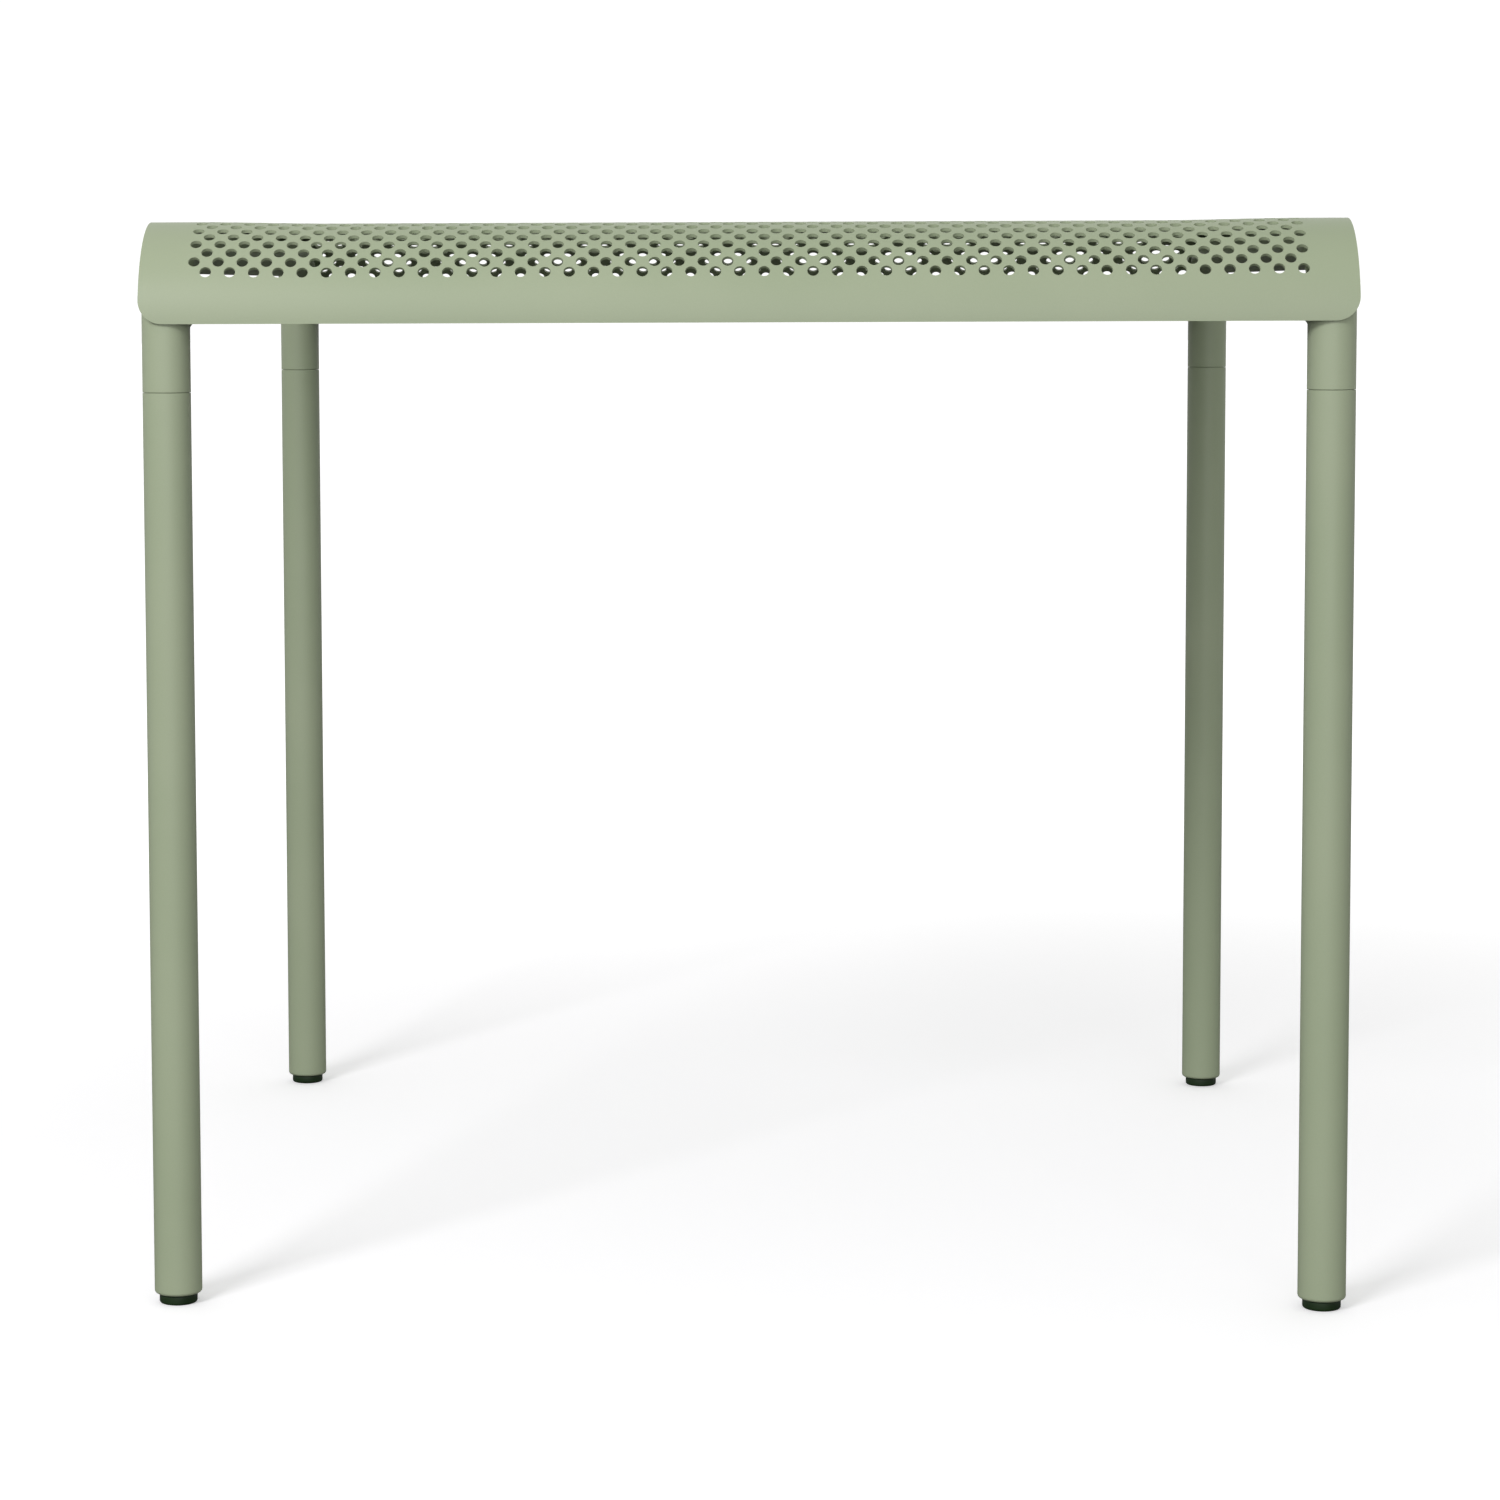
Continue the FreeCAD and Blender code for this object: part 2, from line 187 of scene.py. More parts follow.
# %% Powder coat
def powder_coat():
    material, shader, mm = new_material("sage_powder_coat", Metallic=0.0, IOR=1.42)
    drift = noise(mm, 0.012, detail=3.0)
    grain = noise(mm, 1.6, detail=2.0)
    fleck = noise(mm, 0.55, detail=1.0)
    wave = noise(mm, 0.018, detail=1.0)
    cool = (0.340, 0.401, 0.260)
    warm = (0.366, 0.422, 0.280)
    shade = drift.ramp(0.35, 0.65)
    put(mm.tree, shader.inputs["Base Color"], (shade * 0.7 + grain.ramp(0.3, 0.7) * 0.3).blend(cool, warm))
    put(mm.tree, shader.inputs["Roughness"], drift.ramp(0.3, 0.7, 0.40, 0.47) + grain * 0.05)
    emboss(shader, grain * 0.7 + fleck * 0.5 + wave * 5.0, mm, 0.30, 0.00006)
    return material


COAT = powder_coat()
print("coat", COAT.name, "with", len(COAT.node_tree.nodes), "nodes")

# %% [markdown]
# The foot pads are dark moulded plastic with a faint spark-eroded texture. The studs are bright
# zinc, slightly cloudy. Both use the same kind of noise as the coat, with a finer grain.

# %% Plastic and zinc
def foot_plastic():
    material, shader, mm = new_material("foot_plastic", Metallic=0.0, IOR=1.4)
    cloud = noise(mm, 0.09, detail=2.0)
    grain = noise(mm, 3.0, detail=1.0)
    dark = (0.004, 0.018, 0.002)
    light = (0.008, 0.026, 0.004)
    put(mm.tree, shader.inputs["Base Color"], cloud.ramp(0.3, 0.7).blend(dark, light))
    put(mm.tree, shader.inputs["Roughness"], cloud.ramp(0.3, 0.7, 0.42, 0.55))
    emboss(shader, grain, mm, 0.3, 0.00005)
    return material


def zinc_plate():
    material, shader, mm = new_material("zinc_plate", Metallic=1.0)
    cloud = noise(mm, 0.35, detail=3.0)
    dull = (0.56, 0.57, 0.56)
    bright = (0.68, 0.68, 0.66)
    put(mm.tree, shader.inputs["Base Color"], cloud.ramp(0.3, 0.7).blend(dull, bright))
    put(mm.tree, shader.inputs["Roughness"], cloud.ramp(0.25, 0.75, 0.26, 0.42))
    emboss(shader, noise(mm, 2.2), mm, 0.15, 0.00004)
    return material


PLASTIC = foot_plastic()
ZINC = zinc_plate()
print("materials", [m.name for m in (COAT, PLASTIC, ZINC)])

# %% [markdown]
# ## From points to finished pieces
# Each piece is one closed mesh, placed by its own vertices with the object at the origin. Real
# edges have to look crisp and round walls smooth, so faces that meet at more than 35 degrees stay
# sharp and the rest shade smoothly.

# %% Finishing a piece
SHARP_ANGLE = 35.0


def add_piece(name, points, faces, material, body, nodes):
    """Makes a mesh piece from millimetre points and hands it to the frame."""
    mesh = bpy.data.meshes.new(name)
    mesh.from_pydata((np.asarray(points, float) * MM).tolist(), [], [list(map(int, face)) for face in faces])
    mesh.validate()
    mesh.shade_smooth()
    mesh.set_sharp_from_angle(angle=math.radians(SHARP_ANGLE))
    mesh.materials.append(material)
    piece = bpy.data.objects.new(name, mesh)
    scene.collection.objects.link(piece)
    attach(piece, body)
    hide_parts(*nodes)
    triangles = sum(len(polygon.vertices) - 2 for polygon in mesh.polygons)
    print(f"{name}: {triangles} triangles")


# %% [markdown]
# ## The seat sheet, flat
# A turret punch makes the sheet while it is flat: round holes in staggered rows, 46 to a row and
# 99 rows. Here one diamond tile holds one hole. Geometry Nodes lays the tiles out on the staggered
# grid, so the hole count and spacing are inputs and not 4,554 separate cuts.

# %% One tile
PITCH = 10.0
ROW_STEP = 5.026
HOLE_RADIUS = 2.4
PER_ROW = 46
ROWS = 99
SIDES_OF_HOLE = 16
TILE_STEPS = SIDES_OF_HOLE // 4


def tile_object():
    """A flat diamond, a pitch wide and two row steps high, round one hole."""
    corners = [(PITCH / 2, 0), (0, ROW_STEP), (-PITCH / 2, 0), (0, -ROW_STEP)]
    rim = []
    for number in range(SIDES_OF_HOLE):
        angle = 2 * math.pi * number / SIDES_OF_HOLE
        rim.append((HOLE_RADIUS * math.cos(angle) * MM, HOLE_RADIUS * math.sin(angle) * MM, 0))
    for number in range(SIDES_OF_HOLE):
        start = corners[number // TILE_STEPS]
        stop = corners[(number // TILE_STEPS + 1) % 4]
        part = (number % TILE_STEPS) / TILE_STEPS
        x = start[0] + (stop[0] - start[0]) * part
        y = start[1] + (stop[1] - start[1]) * part
        rim.append((x * MM, y * MM, 0))
    faces = []
    for number in range(SIDES_OF_HOLE):
        following = (number + 1) % SIDES_OF_HOLE
        faces.append((number, SIDES_OF_HOLE + number, SIDES_OF_HOLE + following, following))
    mesh = bpy.data.meshes.new("tile")
    mesh.from_pydata(rim, [], faces)
    return bpy.data.objects.new("tile", mesh)


TILE = tile_object()
print(f"tile: {len(TILE.data.polygons)} faces round a {2 * HOLE_RADIUS} mm hole")

# %% The tree that lays tiles out in staggered rows
FIELD_INPUTS = {"First Row": "Int", "Rows": "Int", "Tile": "Object", "Coat": "Material",
                "Per Row": "Int", "All Rows": "Int", "Pitch": "Float", "Row Step": "Float"}
MERGE_WITHIN = 0.02


def field_tree():
    """Tiles in staggered rows, from First Row on, on a grid centred on the whole sheet."""
    tree = bpy.data.node_groups.new("staggered_rows", "GeometryNodeTree")
    for name, kind in FIELD_INPUTS.items():
        tree.interface.new_socket(name, in_out="INPUT", socket_type="NodeSocket" + kind)
    tree.interface.new_socket("Sheet", in_out="OUTPUT", socket_type="NodeSocketGeometry")
    given = tree.nodes.new("NodeGroupInput")
    result = tree.nodes.new("NodeGroupOutput")

    def source(name):
        return Sock(tree, given.outputs[name])

    count = source("Per Row") * source("Rows")
    line = source("Rows").node("GeometryNodeMeshLine", Count=count)
    index = Sock(tree, tree.nodes.new("GeometryNodeInputIndex").outputs[0])
    along = index.maths("MODULO", index, source("Per Row"))
    row = index.maths("FLOOR", index / source("Per Row")) + source("First Row")
    stagger = (0.5 - index.maths("MODULO", row, 2.0)) * source("Pitch") * 0.5
    x = (along - (source("Per Row") - 1.0) * 0.5) * source("Pitch") + stagger
    y = (row - (source("All Rows") - 1.0) * 0.5) * source("Row Step")
    place = index.node("ShaderNodeCombineXYZ", X=x, Y=y)
    points = line.node("GeometryNodeSetPosition", Geometry=line, Position=place)
    shape = source("Tile").node("GeometryNodeObjectInfo", out="Geometry", Object=source("Tile"))
    tiles = points.node("GeometryNodeInstanceOnPoints", Points=points, Instance=shape)
    real = tiles.node("GeometryNodeRealizeInstances", Geometry=tiles)
    welded = real.node("GeometryNodeMergeByDistance", Geometry=real, Distance=MERGE_WITHIN * MM)
    coated = welded.node("GeometryNodeSetMaterial", Geometry=welded, Material=source("Coat"))
    tree.links.new(coated.out, result.inputs[0])
    return tree


FIELD = field_tree()
print("staggered rows tree:", len(FIELD.nodes), "nodes")


# %% Running the tree
def punched_field(first, rows):
    """Points (x, y in mm) and faces of some rows of tiles, welded together."""
    holder = bpy.data.objects.new("field", bpy.data.meshes.new("field"))
    scene.collection.objects.link(holder)
    modifier = holder.modifiers.new("rows", "NODES")
    modifier.node_group = FIELD
    values = {"First Row": first, "Rows": rows, "Tile": TILE, "Coat": COAT, "Per Row": PER_ROW,
              "All Rows": ROWS, "Pitch": PITCH * MM, "Row Step": ROW_STEP * MM}
    for item in FIELD.interface.items_tree:
        if item.in_out == "INPUT":
            modifier[item.identifier] = values[item.name]
    bpy.context.view_layer.update()
    graph = bpy.context.evaluated_depsgraph_get()
    mesh = bpy.data.meshes.new_from_object(holder.evaluated_get(graph))
    points = np.empty(len(mesh.vertices) * 3)
    mesh.vertices.foreach_get("co", points)
    faces = [tuple(polygon.vertices) for polygon in mesh.polygons]
    bpy.data.objects.remove(holder)
    return points.reshape(-1, 3)[:, :2] / MM, faces


# %% [markdown]
# ## Plain margins round the holes
# A punched sheet keeps a plain border, so that the fold and the edges stay strong. Each margin
# quad starts on the zigzag outline of the tiles and ends on the edge of the sheet. The lower
# corners of the front and back folds are rounded to 10 mm, and a straight lip of 0.9 mm runs on
# below the bend. Filling the whole sheet and cutting the holes with a boolean would give the same
# outline, but slowly and with long thin faces.

# %% Margins
LIP = 0.9
SHEET_END = FLAT_HALF + SKIN_BEND * math.pi / 2 + LIP
CORNER = 10.0
EDGE_STEPS = 20
EDGE_EASE = 1.7
print(f"flat blank: {2 * HALF_LENGTH:.0f} x {2 * SHEET_END:.1f} mm")


def row_y(row):
    return (row - (ROWS - 1) / 2) * ROW_STEP


def row_end(row, side):
    """The outermost corner of a row's last tile on one side."""
    stagger = PITCH / 4 * (1 if row % 2 == 0 else -1)
    return side * (PER_ROW - 1) / 2 * PITCH + stagger + side * PITCH / 2


def sheet_edge(y):
    """Half length of the sheet at a distance along it, rounded at the corners."""
    short = abs(y) - (SHEET_END - CORNER)
    if short <= 0:
        return HALF_LENGTH
    return HALF_LENGTH - CORNER + math.sqrt(max(0.0, CORNER ** 2 - short ** 2))


def side_margin(first, last, side):
    """Quads between the tiles' zigzag and the sheet's end, from one row to another."""
    line = []
    for row in range(first, last):
        for step in range(TILE_STEPS):
            part = step / TILE_STEPS
            x = row_end(row, side) + (row_end(row + 1, side) - row_end(row, side)) * part
            line.append((x, row_y(row) + ROW_STEP * part))
    line.append((row_end(last, side), row_y(last)))
    quads = []
    for (x0, y0), (x1, y1) in zip(line, line[1:]):
        quads.append([(x0, y0), (side * HALF_LENGTH, y0), (side * HALF_LENGTH, y1), (x1, y1)])
    return quads


def edge_margin(row, end):
    """Quads from the first or last row to the sheet's edge, closer together near the edge."""
    falls = [1 - (1 - step / EDGE_STEPS) ** EDGE_EASE for step in range(EDGE_STEPS + 1)]
    start = row_end(row, -1)
    top = row_y(row)
    columns = []
    for number in range(PER_ROW * 2 * TILE_STEPS + 1):
        x = start + number * PITCH / (2 * TILE_STEPS)
        away = abs((number + TILE_STEPS) % (2 * TILE_STEPS) - TILE_STEPS) / TILE_STEPS
        columns.append((x, top + end * ROW_STEP * away))
    quads = []
    for (x0, y0), (x1, y1) in zip(columns, columns[1:]):
        for upper, lower in zip(falls, falls[1:]):
            ys = [y + (end * SHEET_END - y) * fall for fall in (upper, lower) for y in (y0, y1)]
            quads.append([(x0, ys[0]), (x1, ys[1]), (x1, ys[3]), (x0, ys[2])])
    for side in (-1, 1):
        x = row_end(row, side)
        for upper, lower in zip(falls, falls[1:]):
            y0 = top + (end * SHEET_END - top) * upper
            y1 = top + (end * SHEET_END - top) * lower
            quads.append([(x, y0), (side * sheet_edge(y0), y0), (side * sheet_edge(y1), y1), (x, y1)])
    return quads


# %% [markdown]
# ## Folding the sheet
# A press brake folds the front and back over a radius. Positions along the flat sheet are kept as
# lengths on the outer skin, then wrapped round the bend. Between the two side frames nothing
# holds the thin sheet up, so the middle hangs about 0.8 mm lower than the ends.

# %% Folding
SAG = 0.8
SAG_START = 232.0
SAG_RUN = 60.0


def fold(points, depth):
    """Wraps flat (x, y) points over both bends, at a depth below the outer skin."""
    x = points[:, 0]
    along = points[:, 1]
    angle = np.clip((np.abs(along) - FLAT_HALF) / SKIN_BEND, 0, math.pi / 2)
    reach = np.minimum(np.abs(along), FLAT_HALF)
    lip = np.maximum(np.abs(along) - (SHEET_END - LIP), 0)
    y = np.sign(along) * (reach + (SKIN_BEND - depth) * np.sin(angle))
    z = BEND_Z + (SKIN_BEND - depth) * np.cos(angle) - lip
    slack = np.clip((SAG_START - np.abs(x)) / SAG_RUN, 0, 1)
    sag = SAG * slack * slack * (3 - 2 * slack) * np.cos(angle)
    return np.column_stack((x, y, z - sag))


# %% [markdown]
# ## From flat faces to a sheet with a thickness
# Points that coincide are shared, and every face is turned to look up. The flat mesh is then
# folded twice, once on the outer skin and once 1.5 mm below it, and a wall joins the two along
# every open edge: the rim of each hole and the cut edge of the sheet. A Solidify modifier would
# come close, but folding both skins by the same formula keeps the gauge exact round the bend.

# %% Joining and thickening
SNAPS_PER_MM = 200


def join_faces(points, faces, quads):
    """Adds loose quads to a flat mesh and shares every point that coincides."""
    extra = np.array([corner for quad in quads for corner in quad], float).reshape(-1, 2)
    everything = np.vstack((points, extra))
    keys = np.round(everything * SNAPS_PER_MM).astype(np.int64)
    _, keep, where = np.unique(keys, axis=0, return_index=True, return_inverse=True)
    where = where.reshape(-1)
    merged = [tuple(where[list(face)]) for face in faces]
    offset = len(points)
    merged += [tuple(where[offset + 4 * number:offset + 4 * number + 4]) for number in range(len(quads))]
    return everything[keep], merged


def face_up(points, faces):
    """Every face listed anticlockwise seen from above, without repeated corners."""
    turned = []
    for face in faces:
        ring = [corner for place, corner in enumerate(face) if corner != face[place - 1]]
        if len(ring) < 3:
            continue
        flat = points[ring]
        following = np.roll(flat, -1, axis=0)
        area = np.sum(flat[:, 0] * following[:, 1] - following[:, 0] * flat[:, 1])
        turned.append(tuple(ring) if area > 0 else tuple(reversed(ring)))
    return turned


def thicken(points, faces):
    """Outer skin, inner skin, and a wall along every edge that only one face uses."""
    count = len(points)
    solid = list(faces) + [tuple(count + corner for corner in reversed(face)) for face in faces]
    used = set()
    for face in faces:
        for start, stop in zip(face, face[1:] + face[:1]):
            used.add((start, stop))
    for start, stop in used:
        if (stop, start) not in used:
            solid.append((stop, start, count + start, count + stop))
    return np.vstack((fold(points, 0.0), fold(points, GAUGE))), solid


# %% [markdown]
# ## The four runs of the seat
# The one real sheet is split across the flat into four runs, only to keep each mesh light. Their
# edges meet exactly, between rows, so the joins don't show.

# %% Seat runs
RUNS = {"seat_front_fold": (0, 9), "seat_top_front": (10, 49),
        "seat_top_back": (50, 88), "seat_back_fold": (89, 98)}


def seat_run(name, first, last):
    points, faces = punched_field(first, last - first + 1)
    quads = []
    stop = min(last + 1, ROWS - 1)
    for side in (-1, 1):
        quads += side_margin(first, stop, side)
    if first == 0:
        quads += edge_margin(0, -1)
    if last == ROWS - 1:
        quads += edge_margin(ROWS - 1, 1)
    points, faces = join_faces(points, faces, quads)
    faces = face_up(points, faces)
    solid_points, solid = thicken(points, faces)
    add_piece(name, solid_points, solid, COAT, "bench", ["seat_panel"])


for run_name, (first_row, last_row) in RUNS.items():
    seat_run(run_name, first_row, last_row)

# %% [markdown]
# ## Bent tube side frames
# Each side frame is one length of 20 mm tube, bent twice on a tube bender into an upside-down U.
# A bevelled curve would give the tube but not its bore, so a ring of points is carried along the
# centreline outside and back again inside. The open ends are faced off, with their rims just
# eased, where the legs meet them.

# %% Sweeping rings into a tube
RING = 56


def sweep(stations, name, material, body, nodes, closed_ends=True):
    """Joins rings of points, listed in order, into one skin. Every ring has the same count."""
    rings = [np.asarray(ring, float) for ring in stations]
    count = len(rings[0])
    points = np.vstack(rings)
    faces = []
    for row in range(len(rings) - 1):
        for place in range(count):
            following = (place + 1) % count
            low = row * count
            high = low + count
            faces.append((low + place, low + following, high + following, high + place))
    if closed_ends:
        faces.append(tuple(reversed(range(count))))
        faces.append(tuple(range(len(points) - count, len(points))))
    else:
        low = (len(rings) - 1) * count
        for place in range(count):
            following = (place + 1) % count
            faces.append((low + place, low + following, following, place))
    add_piece(name, points, faces, material, body, nodes)


# %% Side frames
BEND_STEPS = 18
RIM = 0.15


def u_path():
    """Centreline points and outward directions of a side frame, front joint to back joint."""
    half = [((-LEG_Y, JOINT_Z + JOINT_GAP), (-1, 0)), ((-LEG_Y, BEND_Z), (-1, 0))]
    for step in range(1, BEND_STEPS + 1):
        angle = math.pi / 2 * step / BEND_STEPS
        out = (-math.cos(angle), math.sin(angle))
        half.append(((-FLAT_HALF + TUBE_BEND * out[0], BEND_Z + TUBE_BEND * out[1]), out))
    return half + [((-y, z), (-out_y, out_z)) for (y, z), (out_y, out_z) in reversed(half)]


def frame_rings(x, radius, path):
    """One ring of points square to the centreline at each place on a path."""
    rings = []
    for (y, z), (out_y, out_z) in path:
        ring = []
        for place in range(RING):
            angle = 2 * math.pi * place / RING
            across = radius * math.cos(angle)
            out = radius * math.sin(angle)
            ring.append((x + across, y + out * out_y, z + out * out_z))
        rings.append(ring)
    return rings


def side_frame(side):
    x = SIDES[side] * SIDE_X
    path = u_path()
    (y0, z0), out0 = path[0]
    (y1, z1), out1 = path[-1]
    shell = [((y0, z0 + RIM), out0)] + path[1:-1] + [((y1, z1 + RIM), out1)]
    outer = frame_rings(x, TUBE, shell)
    first = frame_rings(x, TUBE - RIM, [path[0]])
    final = frame_rings(x, TUBE - RIM, [path[-1]])
    inner = frame_rings(x, TUBE_BORE, path)
    rings = first + outer + final + inner[::-1]
    sweep(rings, f"side_frame_{side}_tube", COAT, "bench", [f"side_frame_{side}"],
          closed_ends=False)


for side in SIDES:
    side_frame(side)

# %% [markdown]
# ## Cross rails
# A smaller tube ties the frames together behind each apron. Its ends are coped to the round of
# the side tube and welded all round. The weld is a concave fillet with fine ripples, and its
# lower edge just shows under the seat's edge. Rings measured from the side tube's own surface
# give the coped end and the weld in one sweep, with no boolean.

# %% Cross rails
RAIL = 7.0
RAIL_BORE = 5.5
RAIL_RISE = 7.5
WELD = 2.9
WELD_RUN = 3.5
WELD_RINGS = [0.0, 0.35, 0.8, 1.4, 2.1, 2.8, WELD_RUN]
RIPPLES = 31
RIPPLE_LEAN = 5
RIPPLE_DEPTH = 0.05


def side_tube_face(y, z):
    """Inner x of the right side tube at a point beside it."""
    y = abs(y)
    if z <= BEND_Z:
        off = abs(y - LEG_Y)
    else:
        off = abs(math.hypot(y - FLAT_HALF, z - BEND_Z) - TUBE_BEND)
    return SIDE_X - math.sqrt(max(0.0, TUBE ** 2 - off ** 2))


def rail_ring(end, radius_at, from_face, hand):
    """A ring round the rail, measured from the side tube's surface."""
    centre_y = end * (FLAT_HALF + math.sqrt(TUBE_BEND ** 2 - RAIL_RISE ** 2))
    centre_z = BEND_Z + RAIL_RISE
    ring = []
    for place in range(RING * 2):
        angle = math.pi * place / RING
        radius = radius_at(angle)
        y = centre_y + radius * math.cos(angle)
        z = centre_z + radius * math.sin(angle)
        ring.append((hand * (side_tube_face(y, z) - from_face), y, z))
    return ring


def weld_radius(run):
    """Radius of the weld at a distance from the side tube, with its ripples."""
    part = 1 - run / WELD_RUN

    def radius(angle):
        ripple = 1 + math.sin(RIPPLES * angle + RIPPLE_LEAN * part)
        return RAIL + WELD * part ** 2 * (1 - RIPPLE_DEPTH * ripple)

    return radius


def cross_rail(end):
    rings = [rail_ring(ENDS[end], weld_radius(run), run, -1) for run in WELD_RINGS]
    rings += [rail_ring(ENDS[end], weld_radius(run), run, 1) for run in reversed(WELD_RINGS)]
    bore = [rail_ring(ENDS[end], lambda angle: RAIL_BORE, 0.0, hand) for hand in (1, -1)]
    sweep(rings + bore, f"{end}_rail_tube", COAT, "bench", [f"{end}_rail"],
          closed_ends=False)


for end in ENDS:
    cross_rail(end)

# %% [markdown]
# ## Turned pieces
# Legs, caps and pads are all round, so each is a profile spun about the leg's axis. A rounded
# corner is a short arc of points in the profile. A Screw modifier could spin it too. Doing it in
# code makes one pole where the profile meets the axis, and keeps the faces outwards.

# %% Turning
def corner(r, z, radius, start, stop, steps=6):
    """Arc points of a rounded corner about (r, z), angles in degrees."""
    arc = []
    for step in range(steps + 1):
        angle = math.radians(start + (stop - start) * step / steps)
        arc.append((r + radius * math.cos(angle), z + radius * math.sin(angle)))
    return arc


def turned(name, profile, where, material, body, nodes, slot):
    """Spins a closed profile. Points on the axis become one pole."""
    side, end = where
    cx = SIDES[side] * SIDE_X
    cy = ENDS[end] * LEG_Y
    points = []
    rows = []
    for r, z in profile:
        if r == 0:
            rows.append([len(points)])
            points.append((cx, cy, z))
            continue
        rows.append(list(range(len(points), len(points) + RING)))
        for place in range(RING):
            angle = 2 * math.pi * place / RING
            points.append((cx + r * math.cos(angle), cy + r * math.sin(angle), z))
    faces = []
    for low, high in zip(rows, rows[1:] + rows[:1]):
        if len(low) == 1 and len(high) == 1:
            continue
        for place in range(RING):
            following = (place + 1) % RING
            ring = [low[place % len(low)], low[following % len(low)]]
            ring += [high[following % len(high)], high[place % len(high)]]
            faces.append(tuple(dict.fromkeys(ring)))
    add_piece(name, points, faces, material, body, nodes)


# %% [markdown]
# ## Legs and their end caps
# A leg is a straight tube. Its upper rim is eased like the frame's above it, and the hairline gap
# between them is the thin dark line of the joint. The lower end is closed by a pressed cap with a
# rounded rim, coated with the leg.

# %% Legs
CAP_BOTTOM = 4.2
CAP_RIM = 1.6
CAP_ROUND = 1.4
CAP_BOSS = 16.0
CAP_LEAD = 0.4
PLUG_RADIUS = 8.45
FOOT_BORE = 3.05
LEG_TOP = JOINT_Z - JOINT_GAP


def leg(side, end):
    bottom = CAP_BOTTOM + CAP_RIM
    profile = [(TUBE, bottom), (TUBE, LEG_TOP - RIM)]
    profile += corner(TUBE - RIM, LEG_TOP - RIM, RIM, 0, 90, 4)
    profile += [(TUBE_BORE, LEG_TOP), (TUBE_BORE, bottom)]
    nodes = [f"leg_{end}_{side}"]
    turned(f"leg_{end}_{side}_tube", profile, (side, end), COAT, "bench", nodes, "powder_coat")


def end_cap(side, end):
    rim = CAP_BOTTOM + CAP_RIM
    top = CAP_BOTTOM + CAP_BOSS
    profile = [(FOOT_BORE, CAP_BOTTOM + CAP_LEAD), (FOOT_BORE + CAP_LEAD, CAP_BOTTOM)]
    profile += corner(TUBE - CAP_ROUND, CAP_BOTTOM + CAP_ROUND, CAP_ROUND, -90, 0, 7)
    profile += [(TUBE, rim), (PLUG_RADIUS, rim), (PLUG_RADIUS, top), (FOOT_BORE, top)]
    nodes = [f"leg_end_cap_{end}_{side}"]
    turned(f"leg_end_{end}_{side}_cap", profile, (side, end), COAT, "bench", nodes, "powder_coat")


for end in ENDS:
    for side in SIDES:
        leg(side, end)
        end_cap(side, end)

# %% [markdown]
# ## Screw feet
# Each foot is a moulded pad on a zinc stud. The stud screws up into the leg's cap, so turning a
# foot levels the bench. The thread is a real helix, cut 0.45 mm deep with a 1 mm pitch. It shows
# when a foot is screwed out, so it is geometry and not a bump: a ring's radius depends on its
# height and on the angle round it.

# %% Pads
PAD = 8.0
PAD_HEIGHT = 3.9
PAD_ROUND = 1.0
PAD_TOP_ROUND = 0.5
PAD_LEAD = 0.25
HOLLOW = 5.2
HOLLOW_DEPTH = 0.35
HOLLOW_SLOPE = 0.4
STUD_LOW = 1.5


def foot_pad(side, end):
    profile = [(0, HOLLOW_DEPTH), (HOLLOW, HOLLOW_DEPTH), (HOLLOW + HOLLOW_SLOPE, 0.0)]
    profile += corner(PAD - PAD_ROUND, PAD_ROUND, PAD_ROUND, -90, 0, 6)
    profile += corner(PAD - PAD_TOP_ROUND, PAD_HEIGHT - PAD_TOP_ROUND, PAD_TOP_ROUND, 0, 90, 4)
    profile += [(FOOT_BORE + PAD_LEAD, PAD_HEIGHT), (FOOT_BORE, PAD_HEIGHT - PAD_LEAD)]
    profile += [(FOOT_BORE, STUD_LOW), (0, STUD_LOW)]
    body = f"foot_{end}_{side}"
    turned(f"{body}_pad", profile, (side, end), PLASTIC, body, [f"foot_pad_{end}_{side}"], "foot_plastic")


# %% Studs
STUD = 3.0
STUD_HIGH = 31.5
STUD_POINT = 0.5
STUD_SIDES = 24
STUD_RINGS = 149
RING_STEP = 0.2
FIRST_RING = 0.02
THREAD_PITCH = 1.0
THREAD_DEPTH = 0.45
THREAD_SLACK = 0.02
PLAIN_LOW = 1.0
RUN_IN = 2.0
RUN_OUT = 1.0


def thread_radius(z, angle):
    """Radius of the stud's helical thread, run out at both ends."""
    phase = (z / THREAD_PITCH - angle / (2 * math.pi)) % 1.0
    groove = THREAD_DEPTH * (1 - abs(2 * phase - 1))
    depth = min(1.0, (z - STUD_LOW - PLAIN_LOW) / RUN_IN, (STUD_HIGH - z) / RUN_OUT)
    return STUD - THREAD_SLACK - groove * max(0.0, depth)


def foot_stud(side, end):
    cx = SIDES[side] * SIDE_X
    cy = ENDS[end] * LEG_Y
    rings = []
    heights = [STUD_LOW + FIRST_RING + RING_STEP * step for step in range(STUD_RINGS)]
    for z in [STUD_LOW] + heights + [STUD_HIGH]:
        shrink = STUD_POINT if z in (STUD_LOW, STUD_HIGH) else 0.0
        ring = []
        for place in range(STUD_SIDES):
            angle = 2 * math.pi * place / STUD_SIDES
            radius = thread_radius(z, angle) - shrink
            ring.append((cx + radius * math.cos(angle), cy + radius * math.sin(angle), z))
        rings.append(ring)
    body = f"foot_{end}_{side}"
    sweep(rings, f"{body}_stud", ZINC, body, [f"foot_stud_{end}_{side}"])


for end in ENDS:
    for side in SIDES:
        foot_pad(side, end)
        foot_stud(side, end)

# %% [markdown]
# ## Joint hardware
# The insert in each stub, the plug in each leg and the stud between them are already right in
# the CAD frame. The insert and the plug are welded in and coated with their tubes, and the stud
# stays bright.

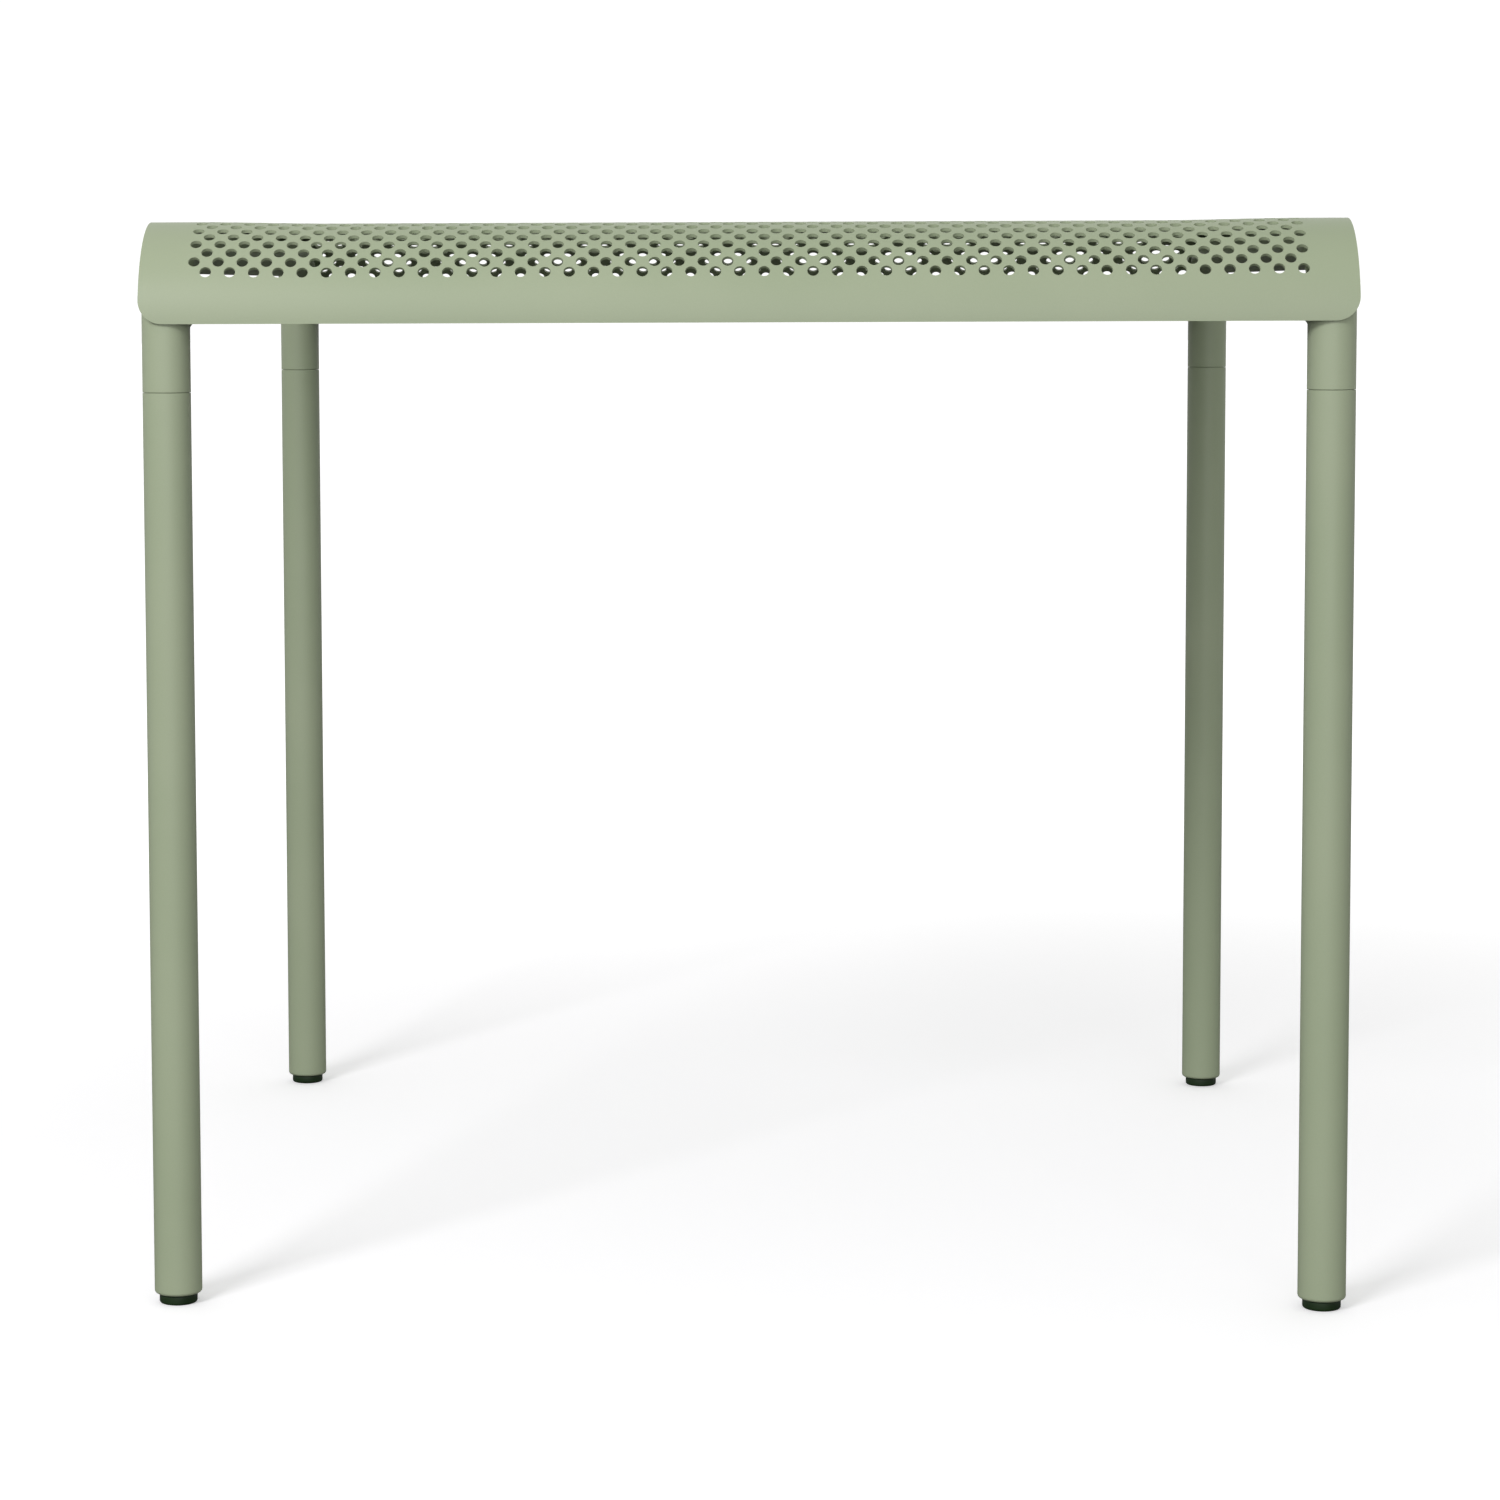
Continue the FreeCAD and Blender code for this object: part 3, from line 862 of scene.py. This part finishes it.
# %% Coats on the hidden hardware
for name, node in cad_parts.items():
    kind = name.rsplit("_", 2)[0]
    if kind in ("stub_insert", "leg_top_plug", "leg_stud"):
        finish, slot = (ZINC, "zinc_steel") if kind == "leg_stud" else (COAT, "powder_coat")
        node.data.materials.clear()
        node.data.materials.append(finish)
        print(f"{name}: {finish.name}")

# %% [markdown]
# ## Floor and light
# A plain pale floor runs back to a white surround. The floor glows by itself, which is painted light:
# it glows less near the bench and more far from it, so that no horizon shows. A soft key light stands
# high at the front left, and gives each foot its shadow. A broad fill in front keeps the folds brightest
# where they face forward.

# %% Floor
def pale_floor():
    material, shader, mm = new_material("studio_floor", Roughness=0.9, Emission_Strength=0.62)
    put(mm.tree, shader.inputs["Base Color"], noise(mm, 0.002).blend((0.93, 0.93, 0.93), (0.95, 0.95, 0.95)))
    away = mm.node("ShaderNodeVectorMath", out="Value", props={"operation": "LENGTH"}, Vector=mm)
    # Painted light: the floor's own glow, about half as strong near the bench and full far away.
    glow = away.ramp(300.0, 1500.0).blend((0.46, 0.46, 0.46), (1.0, 1.0, 1.0))
    put(mm.tree, shader.inputs["Emission Color"], glow)
    mesh = bpy.data.meshes.new("floor")
    reach = 30.0
    corners = [(-reach, -reach, 0), (reach, -reach, 0), (reach, reach, 0), (-reach, reach, 0)]
    mesh.from_pydata(corners, [], [(0, 1, 2, 3)])
    mesh.materials.append(material)
    floor = bpy.data.objects.new("floor", mesh)
    scene.collection.objects.link(floor)
    floor.visible_diffuse = False
    floor.visible_glossy = False
    print(f"floor: {2 * reach:.0f} m square")


pale_floor()


# %% Surround
SIDE_LIGHT = 0.69
BEHIND_GAIN = 0.37
LOW_GAIN = 0.32
OVERHEAD_LOSS = 0.30
UNDER_LIGHT = 0.07


def surround():
    """White behind and along the horizon, softer higher up, and dim below the floor."""
    world = bpy.data.worlds.new("surround")
    scene.world = world
    world.use_nodes = True
    tree = world.node_tree
    tree.nodes.clear()
    coords = tree.nodes.new("ShaderNodeTexCoord")
    way = Sock(tree, coords.outputs["Generated"])
    split = tree.nodes.new("ShaderNodeSeparateXYZ")
    put(tree, split.inputs[0], way)
    y, z = (Sock(tree, split.outputs[axis]) for axis in (1, 2))
    above = z.ramp(-0.06, -0.01)
    behind = y.ramp(0.2, 0.9)
    overhead = z.ramp(0.25, 0.9)
    low = z.ramp(0.0, 0.24, 1.0, 0.0) * (1 - behind)
    sky = SIDE_LIGHT + behind * BEHIND_GAIN + low * LOW_GAIN - overhead * OVERHEAD_LOSS
    glow = above * sky + (1.0 - above) * UNDER_LIGHT
    background = tree.nodes.new("ShaderNodeBackground")
    put(tree, background.inputs["Color"], (1.0, 1.0, 1.0))
    put(tree, background.inputs["Strength"], glow)
    output = tree.nodes.new("ShaderNodeOutputWorld")
    tree.links.new(background.outputs[0], output.inputs[0])


surround()
print("surround:", len(scene.world.node_tree.nodes), "nodes")


# %% Lights
LIGHT_COLOUR = (1.0, 0.985, 1.025)
AIM = (0, 0, 0.3)


def soft_light(name, place, size, power):
    """A rectangle of light that faces the bench, its size in metres and its power in watts."""
    light = bpy.data.lights.new(name, "AREA")
    light.shape = "RECTANGLE"
    light.size, light.size_y = size
    light.energy = power
    light.color = LIGHT_COLOUR
    lamp = bpy.data.objects.new(name, light)
    lamp.location = Vector(place)
    lamp.rotation_mode = "QUATERNION"
    lamp.rotation_quaternion = (Vector(AIM) - Vector(place)).to_track_quat("-Z", "Y")
    scene.collection.objects.link(lamp)
    print(f"{name} light: {power} W")


soft_light("key", place=(-1.2, -2.2, 1.65), size=(0.8, 0.7), power=34.0)
soft_light("fill", place=(0.3, -3.2, 0.7), size=(2.0, 1.0), power=20.0)

# %% [markdown]
# ## Camera
# The camera stands a little below seat height, in front of the middle, and looks almost square on
# and slightly down. The lens is fairly long, so near and far legs differ little in size. Its shift
# slides the view without turning the camera, which keeps the legs close to upright. The turns are
# in radians.

# %% Camera
CAMERA_AT = (0.0104, -1.8602, 0.4255)
TURN_LEFT = 0.0340
LOOK_DOWN = 0.0821
ROLL = 0.0035
LENS = 94.6
SHIFT = (0.0747, -0.0913)

camera_data = bpy.data.cameras.new("camera")
camera_data.sensor_width = 36.0
camera_data.lens = LENS
camera_data.shift_x, camera_data.shift_y = SHIFT
camera_data.clip_start = 0.05
camera = bpy.data.objects.new("camera", camera_data)
camera.location = CAMERA_AT
camera.rotation_mode = "QUATERNION"
level = math.cos(LOOK_DOWN)
ahead = Vector((-math.sin(TURN_LEFT) * level, math.cos(TURN_LEFT) * level, -math.sin(LOOK_DOWN)))
camera.rotation_quaternion = ahead.to_track_quat("-Z", "Y") @ Quaternion((0, 0, 1), -ROLL)
scene.collection.objects.link(camera)
scene.camera = camera
scene.view_settings.view_transform = "Standard"
print(f"camera: {LENS} mm lens at {CAMERA_AT}")
